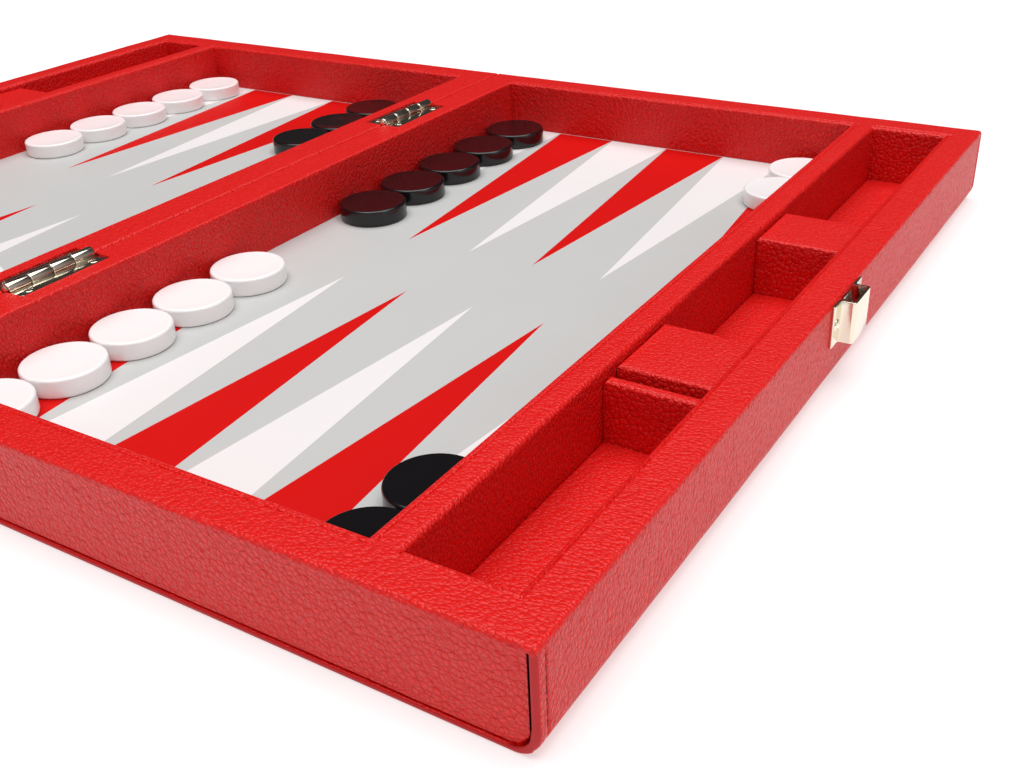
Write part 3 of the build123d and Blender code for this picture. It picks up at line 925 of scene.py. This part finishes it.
# Playing pieces ------------------------------------------------------------------

CHECKER_PROFILE = [(0, 0.12), (13.2, 0.12), (13.7, 0.03)] + arc((14.35, 1.05), 1.05, -90, 0, 7)
CHECKER_PROFILE += arc((14.35, 6.45), 1.05, 0, 90, 7) + [(13.7, 7.48), (13.2, 7.43), (6, 7.41), (0, 7.41)]

for colour, material in (("white", WHITE), ("black", BLACK)):
    for number in range(1, 16):
        node = f"{colour}_checker_{number:02d}"
        low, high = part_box(node)
        centre = (low + high) / 2
        bm = bmesh.new()
        add_lathe(bm, millimetres(CHECKER_PROFILE), 96,
                  lambda u, v, w: (centre.x + u, centre.y + v, low.z + w))
        make(bm, f"{node}_turned", node, material, 50)


CUBE_LINES = [-1 + 2 * k / 23 for k in range(24)]
FLAT_SHARE = 0.3          # share of the lines that lie on the flat of a face


def spread(a, half, radius):
    """Even grid coordinate from -1 to 1, crowded into the rounded edges."""
    if abs(a) < FLAT_SHARE:
        return a / FLAT_SHARE * half
    return math.copysign(half + (abs(a) - FLAT_SHARE) / (1 - FLAT_SHARE) * radius, a)


def rounded_cube(bm, centre, size, radius):
    """Add a cube with evenly rounded edges and corners."""
    half = size / 2 - radius

    def on_cube(axis, sign, a, b):
        p = [0.0, 0.0, 0.0]
        p[axis] = sign * size / 2
        p[(axis + 1) % 3] = spread(a, half, radius)
        p[(axis + 2) % 3] = spread(b, half, radius)
        core = Vector([min(max(c, -half), half) for c in p])
        offset = Vector(p) - core
        if offset.length > 1e-9:
            offset = offset.normalized() * radius
        return centre + core + offset

    count = len(CUBE_LINES) - 1
    for axis in range(3):
        for sign in (-1, 1):
            grid = [[bm.verts.new(on_cube(axis, sign, a, b)) for b in CUBE_LINES] for a in CUBE_LINES]
            for i in range(count):
                for j in range(count):
                    bm.faces.new((grid[i][j], grid[i + 1][j], grid[i + 1][j + 1], grid[i][j + 1]))
    bmesh.ops.remove_doubles(bm, verts=bm.verts, dist=1e-6)


PIPS = {
    1: [(0, 0)], 2: [(-1, -1), (1, 1)], 3: [(-1, -1), (0, 0), (1, 1)],
    4: [(-1, -1), (1, 1), (-1, 1), (1, -1)], 5: [(-1, -1), (1, 1), (-1, 1), (1, -1), (0, 0)],
    6: [(-1, -1), (-1, 0), (-1, 1), (1, -1), (1, 0), (1, 1)],
}
FACES = ((2, 1), (0, 1), (1, 1), (1, -1), (0, -1), (2, -1))


def on_face(centre, size, axis, sign):
    """Places (u, v, w) on one face of a cube: u and v along it, w outward."""
    normal = Vector([sign if k == axis else 0 for k in range(3)])
    across = Vector([1 if k == (axis + 1) % 3 else 0 for k in range(3)])
    along = normal.cross(across)
    return lambda u, v, w: centre + normal * (size / 2 + w) + across * u + along * v


DIE = 13 * MM
PIP_SPACING = 3.1 * MM
PIP_PROFILE = [(0, -0.3), (1.2, -0.3), (1.2, 0.01), (1.1, 0.04), (0.9, 0.03), (0, 0.01)]
DICE = (("white", WHITE, BLACK, (3, 5)), ("red", DIE_RED, WHITE, (6, 2)))
for colour, material, pip_material, first in DICE:
    node = f"{colour}_dice"
    low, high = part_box(node)
    dice, pips = bmesh.new(), bmesh.new()
    for index, x in enumerate((low.x + DIE / 2, high.x - DIE / 2)):
        centre = Vector((x, (low.y + high.y) / 2, low.z + DIE / 2))
        rounded_cube(dice, centre, DIE, 1.7 * MM)
        top = first[index]
        ring = [n for n in range(1, 7) if n not in (top, 7 - top)]
        numbers = [top, ring[0], ring[1], 7 - ring[1], 7 - ring[0], 7 - top]
        for (axis, sign), number in zip(FACES, numbers):
            place = on_face(centre, DIE, axis, sign)
            for u, v in PIPS[number]:
                add_lathe(pips, millimetres(PIP_PROFILE), 24,
                          lambda a, b, c: place(a + u * PIP_SPACING, b + v * PIP_SPACING, c))
    make(dice, f"{node}_polished", node, material)
    make_extra(pips, f"{node}_pips", BODY[node], pip_material)

NUMERAL = 11 * MM
NUMERAL_DEPTH = 0.12 * MM
NUMERAL_SUNK = 0.07 * MM
low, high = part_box("doubling_cube")
CUBE = high.x - low.x
centre = (low + high) / 2
bm = bmesh.new()
rounded_cube(bm, centre, CUBE, 2.0 * MM)
make(bm, "doubling_cube_polished", "doubling_cube", WHITE)
numerals = bmesh.new()
for (axis, sign), text in zip(FACES, ("64", "2", "4", "8", "16", "32")):
    curve = bpy.data.curves.new("numeral", "FONT")
    curve.body = text
    curve.size = NUMERAL
    curve.extrude = NUMERAL_DEPTH
    curve.align_x = "CENTER"
    curve.align_y = "CENTER"
    holder = bpy.data.objects.new("numeral", curve)
    bpy.context.scene.collection.objects.link(holder)
    bpy.context.view_layer.update()
    mesh = bpy.data.meshes.new_from_object(holder.evaluated_get(bpy.context.evaluated_depsgraph_get()))
    place = on_face(centre, CUBE, axis, sign)
    xs = [v.co.x for v in mesh.vertices]
    ys = [v.co.y for v in mesh.vertices]
    middle = ((min(xs) + max(xs)) / 2, (min(ys) + max(ys)) / 2)
    for v in mesh.vertices:
        v.co = place(v.co.x - middle[0], v.co.y - middle[1], v.co.z - NUMERAL_SUNK)
    numerals.from_mesh(mesh)
    bpy.data.objects.remove(holder)
    bpy.data.curves.remove(curve)
    bpy.data.meshes.remove(mesh)
make_extra(numerals, "doubling_cube_numerals", BODY["doubling_cube"], BLACK, 30)


# Stitches ------------------------------------------------------------------------

STITCH = [(0, -1.15), (0.13, -1.1), (0.22, -0.95), (0.25, -0.6)]
STITCH += [(radius, -height) for radius, height in reversed(STITCH)]
STITCHES = 7
STITCH_PITCH = 3.2 * MM
FIRST_STITCH = 9.2 * MM
STITCH_OUT = 0.12 * MM    # a thread's middle, out of the bottom of the seam's groove


def stitch_place(side, y, z):
    """Places a stitch upright in the seam's groove."""
    return lambda u, v, w: (side * (END_FACE - SEAM_DEPTH + STITCH_OUT) + u, y + v, z + w)


for side_name, side in SIDES:
    bm = bmesh.new()
    for end in (-1, 1):
        for k in range(STITCHES):
            place = stitch_place(side, end * (CASE_EDGE - SEAM), FIRST_STITCH + k * STITCH_PITCH)
            add_lathe(bm, millimetres(STITCH), 10, place)
    make_extra(bm, f"{side_name}_end_stitches", side_name + "_half", THREAD)


# Stage ---------------------------------------------------------------------------

FLOOR = 12.0
CORNERS = ((-1, -1), (1, -1), (1, 1), (-1, 1))
floor_mesh = bpy.data.meshes.new("floor")
floor_mesh.from_pydata([(FLOOR * x, FLOOR * y, 0) for x, y in CORNERS], [], [(0, 1, 2, 3)])
floor = bpy.data.objects.new("floor", floor_mesh)
bpy.context.scene.collection.objects.link(floor)
floor.location.z = -0.05 * MM
floor_material, _, floor_shader = new_material("floor_white", (0.56, 0.56, 0.56), 0.8)
floor_shader.inputs["Emission Color"].default_value = (1, 1, 1, 1)
floor_shader.inputs["Emission Strength"].default_value = 0.5
floor_mesh.materials.append(floor_material)


def area_light(name, power, size, place, aim):
    """A soft square white light that looks at a point."""
    light = bpy.data.lights.new(name, "AREA")
    light.energy = power
    light.size = size
    lamp = bpy.data.objects.new(name, light)
    bpy.context.scene.collection.objects.link(lamp)
    lamp.location = place
    lamp.rotation_euler = (Vector(aim) - Vector(place)).to_track_quat("-Z", "Y").to_euler()


area_light("overhead", 131.0, 3.4, (0.1, 0.1, 3.2), (0.0, 0.0, 0.0))
area_light("end_fill", 6.0, 1.2, (2.4, -0.4, 1.0), (0.25, 0.0, 0.0))

# The studio is bright in front of the case and dim behind it, with a white backdrop
BACKWARD = (-0.545, 0.838, 0)
FRONT_LIGHT, BACK_LIGHT = 0.38, 0.04
world = bpy.data.worlds.new("studio")
bpy.context.scene.world = world
world.use_nodes = True
sky = world.node_tree
ambient = sky.nodes["Background"]
backdrop = add_node(sky, "ShaderNodeBackground", inputs={"Strength": 1.0})
for shade in (ambient, backdrop):
    shade.inputs["Color"].default_value = (1, 1, 1, 1)
direction = add_node(sky, "ShaderNodeTexCoord")
toward_back = add_node(sky, "ShaderNodeVectorMath", operation="DOT_PRODUCT")
toward_back.inputs[1].default_value = BACKWARD
sky.links.new(direction.outputs["Generated"], toward_back.inputs[0])
fall = remapped(sky, toward_back.outputs["Value"], -0.3, 0.45, FRONT_LIGHT, BACK_LIGHT, "SMOOTHSTEP")
sky.links.new(fall, ambient.inputs["Strength"])
path = add_node(sky, "ShaderNodeLightPath")
blend = add_node(sky, "ShaderNodeMixShader")
sky.links.new(path.outputs["Is Camera Ray"], blend.inputs[0])
sky.links.new(ambient.outputs[0], blend.inputs[1])
sky.links.new(backdrop.outputs[0], blend.inputs[2])
sky.links.new(blend.outputs[0], sky.nodes["World Output"].inputs["Surface"])

camera_data = bpy.data.cameras.new("camera")
camera_data.sensor_width = 36.0
camera_data.lens = 41.25
camera_data.clip_start = 0.01
camera = bpy.data.objects.new("camera", camera_data)
bpy.context.scene.collection.objects.link(camera)
azimuth, elevation, roll = math.radians(-33.05), math.radians(29.0), math.radians(-2.574)
forward = Vector((math.sin(azimuth) * math.cos(elevation), math.cos(azimuth) * math.cos(elevation),
                  -math.sin(elevation)))
level = Vector((math.cos(azimuth), -math.sin(azimuth), 0))
upright = level.cross(forward)
right = level * math.cos(roll) + upright * math.sin(roll)
up = upright * math.cos(roll) - level * math.sin(roll)
pose = Matrix((right, up, -forward)).transposed().to_4x4()
pose.translation = Vector((0.36795, -0.36341, 0.2034))
camera.matrix_world = pose
bpy.context.scene.camera = camera
bpy.context.scene.view_settings.view_transform = "Standard"
